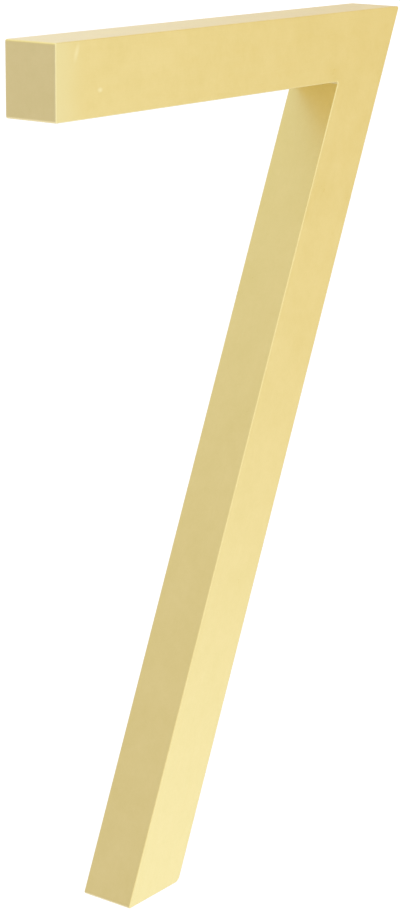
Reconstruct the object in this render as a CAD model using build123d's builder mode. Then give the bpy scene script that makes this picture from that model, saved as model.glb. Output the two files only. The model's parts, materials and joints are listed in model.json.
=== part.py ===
from build123d import *
import math
import os

# House number: the digit seven, one solid brass piece for a wall.
# Millimetres. +Z is up, +X runs to the right as the digit is read, and the
# front looks towards -Y. The flat back lies in the plane y = 0. The centre
# lines of the bar and the leg cross at the origin, which is also the centre
# of the corner stud hole's mouth.

# Outline
digit_height = 203.0
digit_width = 132.0  # to the sharp corner at the top right, before it is eased
bar_height = 16.5
leg_thickness = 17.8  # measured square to the leg's two edges
leg_lean = 23.4  # degrees from the vertical
digit_depth = 13.7  # from the wall to the front face

# Easing of the edges
corner_radius = 0.5  # corners of the outline, seen from the front
foot_corner_radius = 2.0  # the foot's right corner, rounded more than the rest
inner_corner_radius = 0.4  # where the bar's underside meets the leg
arris_radius = 0.25  # edges around the front face and the back face

# Blind holes in the back, tapped M4 for the wall studs
thread_diameter = 4.0
thread_depth = 8.0
tapping_drill_diameter = 3.3
tapping_drill_depth = 9.5  # to the start of the drill's point
drill_point_angle = 118.0
countersink_diameter = 4.4
countersink_angle = 90.0
bar_hole_inset = 14.0  # from the bar's left end
foot_hole_inset = 14.0  # above the foot

# Sizes that follow from the ones above
leg_slope = math.tan(math.radians(leg_lean))
leg_half_width = leg_thickness / 2 / math.cos(math.radians(leg_lean))  # level
top_z = bar_height / 2
bar_underside_z = -bar_height / 2
foot_z = top_z - digit_height
right_x = leg_half_width + top_z * leg_slope
left_x = right_x - digit_width
thread_radius = thread_diameter / 2
drill_radius = tapping_drill_diameter / 2
drill_point_height = drill_radius / math.tan(math.radians(drill_point_angle / 2))


def leg_centre_x(z):
    """X of the leg's centre line at the height z."""
    return z * leg_slope


left_top = (left_x, top_z)
right_top = (right_x, top_z)
foot_right = (leg_centre_x(foot_z) + leg_half_width, foot_z)
foot_left = (leg_centre_x(foot_z) - leg_half_width, foot_z)
inner_corner = (leg_centre_x(bar_underside_z) - leg_half_width, bar_underside_z)
left_bottom = (left_x, bar_underside_z)

foot_hole_z = foot_z + foot_hole_inset
stud_holes = [
    (0, 0),
    (left_x + bar_hole_inset, 0),
    (leg_centre_x(foot_hole_z), foot_hole_z),
]


def outline_corner(outline, point):
    """The outline's own corner at one of the points it was drawn through."""
    return outline.vertices().sort_by_distance(point)[0]


with BuildPart() as number_seven:
    # The digit's outline, drawn on the wall's plane and grown to the front
    with BuildSketch(Plane.XZ) as outline:
        with BuildLine():
            Polyline(left_top, right_top, foot_right, foot_left, inner_corner, left_bottom, close=True)
        make_face()
        fillet(outline_corner(outline, inner_corner), radius=inner_corner_radius)
        fillet(outline_corner(outline, foot_right), radius=foot_corner_radius)
        for corner in (left_top, right_top, foot_left, left_bottom):
            fillet(outline_corner(outline, corner), radius=corner_radius)
    extrude(amount=digit_depth)

    # The sharp edges are taken off all round, front and back
    front_face = number_seven.faces().sort_by(Axis.Y)[0]
    back_face = number_seven.faces().sort_by(Axis.Y)[-1]
    fillet(front_face.edges() + back_face.edges(), radius=arris_radius)

    # Three blind stud holes from the back: a drilled core, opened to the
    # thread's full width as far as the thread runs, with a countersunk mouth
    for hole_x, hole_z in stud_holes:
        mouth = Plane(origin=(hole_x, 0, hole_z), x_dir=(-1, 0, 0), z_dir=(0, 1, 0))
        with Locations(mouth):
            CounterSinkHole(
                radius=thread_radius,
                counter_sink_radius=countersink_diameter / 2,
                depth=thread_depth,
                counter_sink_angle=countersink_angle,
            )
            Hole(radius=drill_radius, depth=tapping_drill_depth)
        with Locations(mouth.offset(-tapping_drill_depth)):
            Cone(
                bottom_radius=0,
                top_radius=drill_radius,
                height=drill_point_height,
                align=(Align.CENTER, Align.CENTER, Align.MAX),
                mode=Mode.SUBTRACT,
            )

number_seven.part.label = "number_seven"

os.makedirs("parts", exist_ok=True)
export_step(number_seven.part, "parts/number_seven.step")
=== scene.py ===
import json
import math

import bpy
from mathutils import Matrix, Vector


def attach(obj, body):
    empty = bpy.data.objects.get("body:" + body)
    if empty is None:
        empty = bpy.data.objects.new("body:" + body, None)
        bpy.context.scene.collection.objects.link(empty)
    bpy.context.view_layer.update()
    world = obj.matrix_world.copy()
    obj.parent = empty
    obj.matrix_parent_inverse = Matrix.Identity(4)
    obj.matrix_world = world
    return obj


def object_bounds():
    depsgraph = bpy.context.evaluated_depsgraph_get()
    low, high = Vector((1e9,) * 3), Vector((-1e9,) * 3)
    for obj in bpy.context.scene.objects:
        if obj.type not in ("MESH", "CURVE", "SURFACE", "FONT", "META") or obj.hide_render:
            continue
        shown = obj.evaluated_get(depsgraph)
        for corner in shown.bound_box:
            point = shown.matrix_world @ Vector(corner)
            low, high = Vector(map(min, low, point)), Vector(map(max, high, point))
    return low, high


# House number: the digit seven in satin brass, seen a little from the left and
# from above. Metres. +Z is up, the front looks towards -Y, the flat back lies
# in the plane y = 0, and the corner stud hole's mouth is at the origin.
MM = 0.001

# Camera: where it stands around the point it aims at, in degrees and metres
CAMERA_AZIMUTH = -53.48
CAMERA_ELEVATION = 15.21
CAMERA_ROLL = 0.59
CAMERA_DISTANCE = 548.0 * MM
CAMERA_AIM = Vector((-67.4, -13.5, -89.8)) * MM
CAMERA_LENS = 93.5  # millimetres, as the sensor's width
CAMERA_SENSOR = 36.0
CAMERA_NEAREST = 0.01
CAMERA_FARTHEST = 100.0

# Studio
FLOOR_DROP = 0.45  # from the foot of the digit down to the floor
FLOOR_SIZE = 12.0
PALE_FLOOR = (0.95, 0.95, 0.95, 1.0)
ROOM_WHITE = 1.15

# Directions from the digit into the light tent
RIGHT = (1, 0, 0)
BACK = (0, 1, 0)
UP = (0, 0, 1)
DOWN = (0, 0, -1)
WARM_PLACE = (0.97, -0.13, 0.21)
LEFT_PLACE = (-0.8, 0.6, 0.0)

# Colours of the light tent, and what mirrors each of them
TENT_COOL = (1.14, 1.22, 1.46)  # the foot
TENT_WARM = (0.87, 0.77, 0.55)  # the corner
TENT_BACK = (0.94, 0.97, 1.14)  # the top
TENT_BACK_RIGHT = (0.66, 0.56, 0.51)  # the top's right end
TENT_CAMERA_SIDE = (1.08, 1.08, 1.15)  # the eased edges alone
TENT_LEFT = (0.66, 0.65, 0.74)  # the bar's end
TENT_LEFT_HIGH = (0.75, 0.725, 0.735)  # the leg's side
TENT_LEFT_TOP = (1.02, 1.10, 1.03)  # the leg's side, close under the bar
TENT_LEFT_FLOOR = (1.00, 1.04, 1.45)  # the bar's underside

# Soft borders in the light tent: the cosine of the angle to the patch's direction
# where the patch begins, and where it is full
WARM_REACH = (0.73, 0.80)
BACK_REACH = (-0.2, 0.5)
BACK_RIGHT_REACH = (0.72, 0.87)
CAMERA_SIDE_REACH = (0.45, -0.05)  # from the right, so this patch lies away from it
LEFT_REACH = (-0.1, 0.9)
LEFT_HIGH_REACH = (0.0, 0.2)
LEFT_TOP_REACH = (0.4, 0.8)
LEFT_FLOOR_REACH = (0.1, 0.7)

# Brass
BRASS_PALE = (0.95, 0.80, 0.38)
BRASS_DEEP = (0.84, 0.70, 0.28)
BRASS_ROUGHNESS = 0.36
GRAIN_LENGTH = 7.0 * MM
GRAIN_WIDTH = 0.16 * MM
GRAIN_DEPTH = 0.005 * MM
GRAIN_DETAIL = 3.0
GRAIN_ROUGHNESS = 0.06
MITRE_WIDTH = 1.0 * MM  # where the bar's grain gives way to the leg's
MOTTLE_SIZE = 9.0 * MM
MOTTLE_DETAIL = 5.0
MOTTLE_FINENESS = 0.85  # how strong the small patches are beside the large ones
MOTTLE_ROUGHNESS = 0.03
NOISE_REACH = (0.3, 0.7)  # where most values of a noise texture lie

# Painted on the brass: a painted highlight that makes the front of the bar's left end paler, and
# small pale spots
BRASS_PAINTED_HIGHLIGHT = (0.90, 0.79, 0.39)
PAINTED_HIGHLIGHT_LENGTH = 11.0 * MM
PAINTED_HIGHLIGHT_DEPTH = 0.5 * MM  # how far the painted highlight reaches round the edge
BRASS_PALE_SPOT = (0.99, 0.89, 0.50)

# Each small pale spot painted on the bar's front: its middle, measured from the bar's end and up from
# the bar's middle line, then its reach each way, its turn in degrees and its strength
PALE_SPOTS = (
    ((6.83 * MM, 5.9 * MM), (3.0 * MM, 1.0 * MM, 1.0 * MM), -69.0, 0.75),
    ((14.53 * MM, -2.5 * MM), (1.2 * MM, 1.0 * MM, 0.75 * MM), 0.0, 1.0),
)

# M4 thread in the stud holes
THREAD_PITCH = 0.7 * MM
THREAD_DEPTH = 0.36 * MM  # from the wall of the hole in to the thread's crest
THREAD_BASE = 0.6 * MM
THREAD_CREST = 0.175 * MM
THREAD_SINK = 0.06 * MM  # how far the thread's base stands in the wall
THREAD_STEPS = 36  # to one turn
MOUTH_DEPTH = 0.2 * MM  # the countersink, before the thread begins
CRISP_ANGLE = 30.0  # degrees; edges sharper than this aren't shaded smooth

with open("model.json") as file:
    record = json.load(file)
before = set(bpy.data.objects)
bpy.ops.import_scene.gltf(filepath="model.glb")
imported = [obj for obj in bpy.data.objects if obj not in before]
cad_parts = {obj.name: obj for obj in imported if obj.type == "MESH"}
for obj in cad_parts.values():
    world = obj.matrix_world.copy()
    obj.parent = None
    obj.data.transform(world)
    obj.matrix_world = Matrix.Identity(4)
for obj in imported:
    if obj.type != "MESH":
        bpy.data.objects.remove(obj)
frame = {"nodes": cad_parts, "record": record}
cad_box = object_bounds()
end_x, front_y, foot_z = cad_box[0]
stud_holes = {m["name"]: m for m in frame["record"]["mounts"] if m["kind"] == "threaded_hole"}
foot_hole = Vector(stud_holes["foot_stud_hole"]["pos_m"])
leg_lean = math.atan(foot_hole.x / foot_hole.z)


def clear_selection():
    """Leaves nothing selected, so that the next operator acts on its own piece alone."""
    bpy.ops.object.select_all(action="DESELECT")


def add(tree, kind, **settings):
    """A new shader node, with its settings."""
    node = tree.nodes.new(kind)
    for name, value in settings.items():
        setattr(node, name, value)
    return node


def empty_tree(owner):
    """The owner's node tree, emptied."""
    owner.use_nodes = True
    owner.node_tree.nodes.clear()
    return owner.node_tree


def map_range(tree, value, from_low, from_high, to_low=0.0, to_high=1.0, smooth=False):
    """Value carried from one range to another; returns the result's socket."""
    node = add(tree, "ShaderNodeMapRange", interpolation_type="SMOOTHSTEP" if smooth else "LINEAR")
    tree.links.new(value, node.inputs["Value"])
    node.inputs["From Min"].default_value = from_low
    node.inputs["From Max"].default_value = from_high
    node.inputs["To Min"].default_value = to_low
    node.inputs["To Max"].default_value = to_high
    return node.outputs["Result"]


def mix(tree, share, first, second, kind="RGBA"):
    """A mix of two colours, each a value or a socket, or of two sockets of another kind."""
    node = add(tree, "ShaderNodeMix", data_type=kind)
    tree.links.new(share, node.inputs["Factor"])
    for name, source in (("A", first), ("B", second)):
        socket = next(s for s in node.inputs if s.name == name and s.type == kind)
        if isinstance(source, bpy.types.NodeSocket):
            tree.links.new(source, socket)
        else:
            socket.default_value = (*source, 1.0)
    return next(s for s in node.outputs if s.type == kind)


def measured_in(tree, place, size, turn, middle=(0, 0, 0)):
    """Place, measured from a middle in steps of a size each way, turned in the front's plane."""
    node = add(tree, "ShaderNodeMapping", vector_type="TEXTURE")
    node.inputs["Location"].default_value = middle
    node.inputs["Rotation"].default_value = (0, turn, 0)
    node.inputs["Scale"].default_value = size
    tree.links.new(place, node.inputs["Vector"])
    return node.outputs["Vector"]


def along(tree, place, direction):
    """How far a place lies along a direction."""
    node = add(tree, "ShaderNodeVectorMath", operation="DOT_PRODUCT")
    node.inputs[1].default_value = direction
    tree.links.new(place, node.inputs[0])
    return node.outputs["Value"]


def brushed_grain(tree, place):
    """Fine lines along the bar and along the leg, which meet at the mitre of the corner."""
    bar_grain = measured_in(tree, place, (GRAIN_LENGTH, GRAIN_WIDTH, GRAIN_WIDTH), 0.0)
    leg_grain = measured_in(tree, place, (GRAIN_WIDTH, GRAIN_WIDTH, GRAIN_LENGTH), leg_lean)
    to_bar_end = Vector((-1, 0, 0))
    to_foot = Vector((-math.sin(leg_lean), 0, -math.cos(leg_lean)))
    mitre = (to_bar_end + to_foot).normalized()
    across_mitre = along(tree, place, (-mitre.z, 0, mitre.x))
    is_leg = map_range(tree, across_mitre, -MITRE_WIDTH / 2, MITRE_WIDTH / 2)
    grain = add(tree, "ShaderNodeTexNoise")
    grain.inputs["Scale"].default_value = 1.0
    grain.inputs["Detail"].default_value = GRAIN_DETAIL
    tree.links.new(mix(tree, is_leg, bar_grain, leg_grain, kind="VECTOR"), grain.inputs["Vector"])
    return grain.outputs["Fac"]


def mottle(tree, place):
    """Soft patches, as a hand-finished face has."""
    patches = add(tree, "ShaderNodeTexNoise")
    patches.inputs["Scale"].default_value = 1 / MOTTLE_SIZE
    patches.inputs["Detail"].default_value = MOTTLE_DETAIL
    patches.inputs["Roughness"].default_value = MOTTLE_FINENESS
    tree.links.new(place, patches.inputs["Vector"])
    return patches.outputs["Fac"]


def painted_end_highlight(tree, place):
    """How much painted highlight the front has, from 1 at the bar's left end down to 0."""
    axes = add(tree, "ShaderNodeSeparateXYZ")
    tree.links.new(place, axes.inputs["Vector"])
    near_end = map_range(tree, axes.outputs["X"], end_x, end_x + PAINTED_HIGHLIGHT_LENGTH, 1.0, 0.0, smooth=True)
    near_front = map_range(tree, axes.outputs["Y"], front_y, front_y + PAINTED_HIGHLIGHT_DEPTH, 1.0, 0.0)
    share = add(tree, "ShaderNodeMath", operation="MULTIPLY")
    tree.links.new(near_end, share.inputs[0])
    tree.links.new(near_front, share.inputs[1])
    return share.outputs["Value"]


def pale_spot(tree, place, middle, reach, turn, strength):
    """How much of a pale spot there is at a place, from its full strength in the middle down to 0."""
    from_end, up = middle
    spot = measured_in(tree, place, reach, math.radians(turn), (end_x + from_end, front_y, up))
    distance = add(tree, "ShaderNodeVectorMath", operation="LENGTH")
    tree.links.new(spot, distance.inputs[0])
    return map_range(tree, distance.outputs["Value"], 0.0, 1.0, strength, 0.0, smooth=True)


def satin_brass():
    """Pale gold brass with a fine satin grain along each stroke."""
    material = bpy.data.materials.new("satin_brass")
    tree = empty_tree(material)
    place = add(tree, "ShaderNodeTexCoord").outputs["Object"]
    grain = brushed_grain(tree, place)
    patches = mottle(tree, place)

    shader = add(tree, "ShaderNodeBsdfPrincipled")
    shader.inputs["Metallic"].default_value = 1.0
    colour = mix(tree, patches, BRASS_DEEP, BRASS_PALE)
    # Painted highlight: the front of the bar's left end is painted paler
    colour = mix(tree, painted_end_highlight(tree, place), colour, BRASS_PAINTED_HIGHLIGHT)
    # Small pale spots painted on the bar's front
    for mark in PALE_SPOTS:
        colour = mix(tree, pale_spot(tree, place, *mark), colour, BRASS_PALE_SPOT)
    tree.links.new(colour, shader.inputs["Base Color"])

    smoothest = BRASS_ROUGHNESS - MOTTLE_ROUGHNESS
    roughest = BRASS_ROUGHNESS + MOTTLE_ROUGHNESS
    patch_roughness = map_range(tree, patches, *NOISE_REACH, smoothest, roughest)
    grain_roughness = map_range(tree, grain, *NOISE_REACH, -GRAIN_ROUGHNESS, GRAIN_ROUGHNESS)
    roughness = add(tree, "ShaderNodeMath", operation="ADD")
    tree.links.new(patch_roughness, roughness.inputs[0])
    tree.links.new(grain_roughness, roughness.inputs[1])
    tree.links.new(roughness.outputs["Value"], shader.inputs["Roughness"])

    relief = add(tree, "ShaderNodeBump")
    relief.inputs["Strength"].default_value = 1.0
    relief.inputs["Distance"].default_value = GRAIN_DEPTH
    tree.links.new(grain, relief.inputs["Height"])
    tree.links.new(relief.outputs["Normal"], shader.inputs["Normal"])

    output = add(tree, "ShaderNodeOutputMaterial")
    tree.links.new(shader.outputs["BSDF"], output.inputs["Surface"])
    return material


def ridge_section(wall_radius):
    """The outline of the thread's ridge, cut through, which stands in the wall of a hole."""
    width = THREAD_DEPTH + THREAD_SINK
    clear_selection()
    bpy.ops.mesh.primitive_plane_add(size=1.0, location=(0, 0, 0), rotation=(math.pi / 2, 0, 0))
    section = bpy.context.object
    section.scale = (width, THREAD_BASE, 1.0)
    bpy.ops.object.transform_apply(location=False, rotation=True, scale=True)

    # Its inner edge is drawn in to the width of the crest
    bpy.ops.object.mode_set(mode="EDIT")
    bpy.ops.mesh.select_mode(type="VERT")
    bpy.ops.mesh.select_all(action="DESELECT")
    bpy.ops.object.mode_set(mode="OBJECT")
    for vertex in section.data.vertices:
        vertex.select = vertex.co.x < 0
    bpy.ops.object.mode_set(mode="EDIT")
    bpy.ops.transform.resize(value=(1, 1, THREAD_CREST / THREAD_BASE), center_override=(0, 0, 0))

    bpy.ops.mesh.select_all(action="SELECT")
    middle_radius = wall_radius + THREAD_SINK - width / 2
    bpy.ops.transform.translate(value=(middle_radius, 0, THREAD_BASE / 2))
    bpy.ops.mesh.delete(type="ONLY_FACE")
    bpy.ops.object.mode_set(mode="OBJECT")
    return section


def thread_ridge(brass):
    """The M4 thread's ridge, a closed helix inside a hole whose mouth is at the origin."""
    dims = stud_holes["corner_stud_hole"]["dims"]
    thread_length = dims["length_mm"] * MM
    ridge = ridge_section(dims["r_mm"] * MM)
    screw = ridge.modifiers.new("helix", "SCREW")
    screw.axis = "Z"
    screw.steps = THREAD_STEPS
    screw.render_steps = THREAD_STEPS
    screw.iterations = int((thread_length - THREAD_BASE) / THREAD_PITCH)
    screw.screw_offset = THREAD_PITCH
    bpy.ops.object.modifier_apply(modifier=screw.name)

    # Both ends of the helix are closed
    bpy.ops.object.mode_set(mode="EDIT")
    bpy.ops.mesh.select_all(action="DESELECT")
    bpy.ops.mesh.select_non_manifold()
    bpy.ops.mesh.fill_holes(sides=4)
    bpy.ops.mesh.select_all(action="SELECT")
    bpy.ops.mesh.normals_make_consistent(inside=False)
    bpy.ops.object.mode_set(mode="OBJECT")
    bpy.ops.object.shade_smooth_by_angle(angle=math.radians(CRISP_ANGLE))

    # It is laid down to run from the thread's inner end out towards the hole's mouth
    ridge.rotation_euler = (-math.pi / 2, 0, 0)
    ridge.location = (0, -MOUTH_DEPTH - thread_length, 0)
    bpy.ops.object.transform_apply(location=True, rotation=True, scale=True)
    ridge.data.materials.append(brass)
    return ridge


def stud_threads(brass):
    """The ridge is modelled once and copied into each stud hole."""
    ridge = thread_ridge(brass)
    for name, hole in stud_holes.items():
        clear_selection()
        ridge.select_set(True)
        bpy.context.view_layer.objects.active = ridge
        bpy.ops.object.duplicate(linked=False)
        thread = bpy.context.object
        thread.name = name.replace("hole", "thread")
        bpy.ops.transform.translate(value=hole["pos_m"])
        bpy.ops.object.transform_apply(location=True, rotation=False, scale=False)
        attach(thread, "root")
    clear_selection()
    ridge.select_set(True)
    bpy.ops.object.delete()


def floor():
    """A wide pale floor well below the digit, which hangs free as on a wall."""
    clear_selection()
    bpy.ops.mesh.primitive_plane_add(size=FLOOR_SIZE, location=(0, 0, foot_z - FLOOR_DROP))
    plane = bpy.context.object
    plane.name = "studio_floor"
    plane.visible_glossy = False
    material = bpy.data.materials.new("pale_floor")
    tree = empty_tree(material)
    shader = add(tree, "ShaderNodeBsdfDiffuse")
    shader.inputs["Color"].default_value = PALE_FLOOR
    output = add(tree, "ShaderNodeOutputMaterial")
    tree.links.new(shader.outputs["BSDF"], output.inputs["Surface"])
    plane.data.materials.append(material)


def tent_patch(tree, direction, place, reach, around, colour, smooth=False):
    """A patch of colour at a place in the tent, over what lies around it."""
    share = map_range(tree, along(tree, direction, place), *reach, smooth=smooth)
    return mix(tree, share, around, colour)


def tent_colour(tree):
    """The light tent's colour in each direction, patch over patch."""
    direction = add(tree, "ShaderNodeTexCoord").outputs["Generated"]
    right = tent_patch(tree, direction, WARM_PLACE, WARM_REACH, TENT_COOL, TENT_WARM)
    back = tent_patch(tree, direction, RIGHT, BACK_RIGHT_REACH, TENT_BACK, TENT_BACK_RIGHT)
    rest = tent_patch(tree, direction, BACK, BACK_REACH, right, back, smooth=True)
    rest = tent_patch(tree, direction, RIGHT, CAMERA_SIDE_REACH, rest, TENT_CAMERA_SIDE, smooth=True)
    left = tent_patch(tree, direction, UP, LEFT_HIGH_REACH, TENT_LEFT, TENT_LEFT_HIGH)
    left = tent_patch(tree, direction, UP, LEFT_TOP_REACH, left, TENT_LEFT_TOP)
    left = tent_patch(tree, direction, DOWN, LEFT_FLOOR_REACH, left, TENT_LEFT_FLOOR)
    return tent_patch(tree, direction, LEFT_PLACE, LEFT_REACH, rest, left, smooth=True)


def light_tent():
    """An even white room, with a tent around the digit that only the metal mirrors."""
    world = bpy.data.worlds.new("light_tent")
    bpy.context.scene.world = world
    tree = empty_tree(world)
    tent = add(tree, "ShaderNodeBackground")
    tree.links.new(tent_colour(tree), tent.inputs["Color"])
    room = add(tree, "ShaderNodeBackground")
    room.inputs["Strength"].default_value = ROOM_WHITE
    room.inputs["Color"].default_value = (1, 1, 1, 1)
    mirrored = add(tree, "ShaderNodeLightPath").outputs["Is Glossy Ray"]
    both = add(tree, "ShaderNodeMixShader")
    tree.links.new(mirrored, both.inputs["Fac"])
    tree.links.new(room.outputs["Background"], both.inputs[1])
    tree.links.new(tent.outputs["Background"], both.inputs[2])
    output = add(tree, "ShaderNodeOutputWorld")
    tree.links.new(both.outputs["Shader"], output.inputs["Surface"])


def camera():
    """The photograph's camera, fitted to the edges of the digit."""
    azimuth = math.radians(CAMERA_AZIMUTH)
    elevation = math.radians(CAMERA_ELEVATION)
    towards_camera = Vector((
        math.sin(azimuth) * math.cos(elevation),
        -math.cos(azimuth) * math.cos(elevation),
        math.sin(elevation),
    ))
    data = bpy.data.cameras.new("camera")
    data.lens = CAMERA_LENS
    data.sensor_width = CAMERA_SENSOR
    data.clip_start = CAMERA_NEAREST
    data.clip_end = CAMERA_FARTHEST
    eye = bpy.data.objects.new("camera", data)
    bpy.context.scene.collection.objects.link(eye)
    turn = (-towards_camera).to_track_quat("-Z", "Y").to_matrix().to_4x4()
    roll = Matrix.Rotation(math.radians(CAMERA_ROLL), 4, "Z")
    eye.matrix_world = Matrix.Translation(CAMERA_AIM + towards_camera * CAMERA_DISTANCE) @ turn @ roll
    bpy.context.scene.camera = eye


# The digit itself is the CAD solid, dressed in brass
brass = satin_brass()
for slot in frame["nodes"]["number_seven"].material_slots:
    slot.material = brass

stud_threads(brass)
floor()
light_tent()
camera()
bpy.context.scene.view_settings.view_transform = "Standard"
